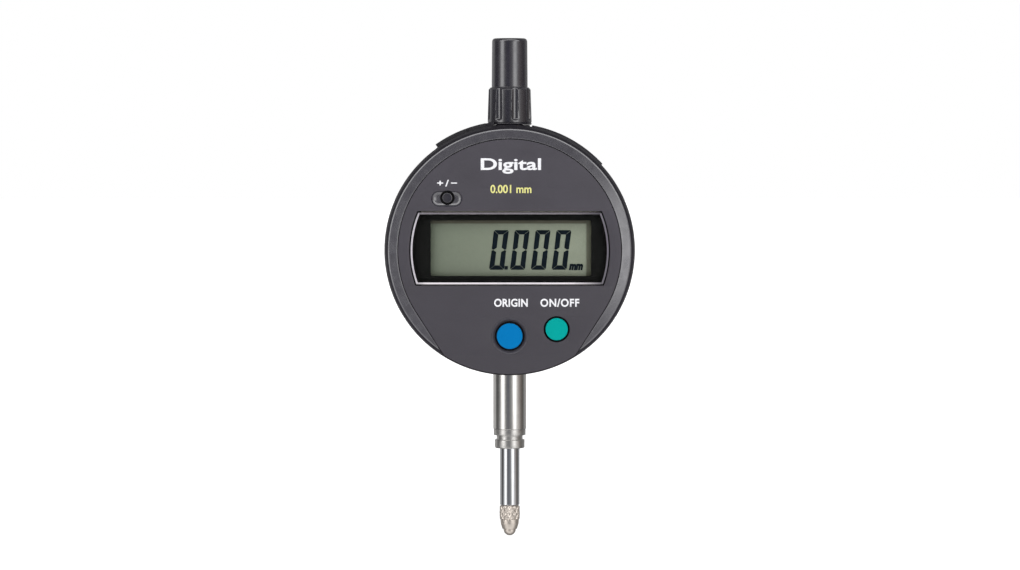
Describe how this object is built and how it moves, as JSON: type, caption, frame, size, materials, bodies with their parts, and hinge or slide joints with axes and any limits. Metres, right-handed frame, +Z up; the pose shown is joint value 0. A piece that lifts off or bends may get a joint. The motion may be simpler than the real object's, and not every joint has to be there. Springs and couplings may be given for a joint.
{
  "type": "dial indicator",
  "caption": "Digital dial indicator with a round body, a vertical spindle in a plain stem, a display window, push buttons, a fluted spindle cap and a lug on its back.",
  "frame": {"origin": "bottom centre of the box round the part: level with the tip of the contact ball, on the spindle's x, half-way in depth between the display face and the end of the lug; the spindle's axis is at y = -4.6 mm", "axes": "+Z up along the spindle, the display faces -Y, +X to the reader's right"},
  "size_m": [0.06, 0.0352, 0.1206],
  "materials": {
    "charcoal_plastic": "fine moulded texture",
    "black_plastic": "semi-gloss moulding",
    "black_rubber": "matt",
    "blue_rubber": "satin",
    "green_rubber": "satin",
    "ivory_plastic": "matt",
    "clear_lens": "clear, with a black printed surround",
    "display_glass": "reflective liquid crystal",
    "circuit_board": "solder mask",
    "flex_film": "amber film",
    "satin_steel": "fine turned",
    "bright_steel": "ground and polished",
    "warm_steel": "turned and knurled",
    "carbide": "polished",
    "brass": "turned",
    "aluminium": "milled"
  },
  "bodies": {
    "case": {"front_cover": "charcoal_plastic", "display_lens": "clear_lens", "rear_housing": "charcoal_plastic", "back_plate": "charcoal_plastic", "stem": "satin_steel", "lower_bush": "satin_steel", "upper_stem_bush": "brass", "top_bush": "brass", "bumper": "black_rubber", "case_screw_1": "satin_steel", "case_screw_2": "satin_steel", "case_screw_3": "satin_steel", "case_screw_4": "satin_steel", "back_screw_1": "satin_steel", "back_screw_2": "satin_steel", "back_screw_3": "satin_steel", "back_screw_4": "satin_steel", "lcd_panel": "display_glass", "lcd_holder": "ivory_plastic", "zebra_strip_lower": "black_rubber", "zebra_strip_upper": "black_rubber", "main_board": "circuit_board", "detector_board": "circuit_board", "board_connector": "ivory_plastic", "origin_switch": "black_plastic", "power_switch": "black_plastic", "sign_switch": "black_plastic", "board_screw_1": "satin_steel", "board_screw_2": "satin_steel", "board_screw_3": "satin_steel", "detector_screw_1": "satin_steel", "detector_screw_2": "satin_steel", "guide_rail": "satin_steel", "spring_pin_fixed": "satin_steel", "battery_contact_positive": "brass", "battery_contact_negative": "brass", "data_connector": "black_plastic", "flex_cable": "flex_film"},
    "spindle_unit": {"spindle": "bright_steel", "contact_point": "warm_steel", "contact_ball": "carbide", "scale_carrier": "aluminium", "carrier_screw": "satin_steel", "main_scale": "display_glass", "guide_pin": "bright_steel", "stop_ring": "brass", "spring_pin_moving": "satin_steel", "return_spring": "bright_steel"},
    "origin_key": {"origin_button": "blue_rubber", "origin_plunger": "ivory_plastic"},
    "power_key": {"power_button": "green_rubber", "power_plunger": "ivory_plastic"},
    "sign_key": {"sign_button": "black_plastic", "sign_plunger": "ivory_plastic"},
    "cap": {"spindle_cap": "black_plastic"},
    "battery_drawer": {"battery_tray": "black_plastic", "battery": "bright_steel"},
    "port_cover": {"connector_cover": "black_rubber"}
  },
  "joints": [
    {"name": "spindle_slide", "type": "slide", "parent": "case", "child": "spindle_unit", "axis": [0, 0, 1], "range_m": [0, 0.0127], "stiffness_N_per_m": 40, "springref_m": -0.025, "deforming": ["return_spring"]},
    {"name": "origin_press", "type": "slide", "parent": "case", "child": "origin_key", "axis": [0, 1, 0], "range_m": [0, 0.0006], "stiffness_N_per_m": 5, "springref_m": -0.002},
    {"name": "power_press", "type": "slide", "parent": "case", "child": "power_key", "axis": [0, 1, 0], "range_m": [0, 0.0006], "stiffness_N_per_m": 5, "springref_m": -0.002},
    {"name": "sign_press", "type": "slide", "parent": "case", "child": "sign_key", "axis": [0, 1, 0], "range_m": [0, 0.0005], "stiffness_N_per_m": 5, "springref_m": -0.002},
    {"name": "cap_lift", "type": "slide", "parent": "case", "child": "cap", "axis": [0, 0, 1], "range_m": [0, 0.02]},
    {"name": "battery_pull", "type": "slide", "parent": "case", "child": "battery_drawer", "axis": [0.481, 0, 0.8767], "range_m": [0, 0.02]},
    {"name": "port_cover_pull", "type": "slide", "parent": "case", "child": "port_cover", "axis": [-0.3859, 0, 0.9225], "range_m": [0, 0.008]}
  ]
}
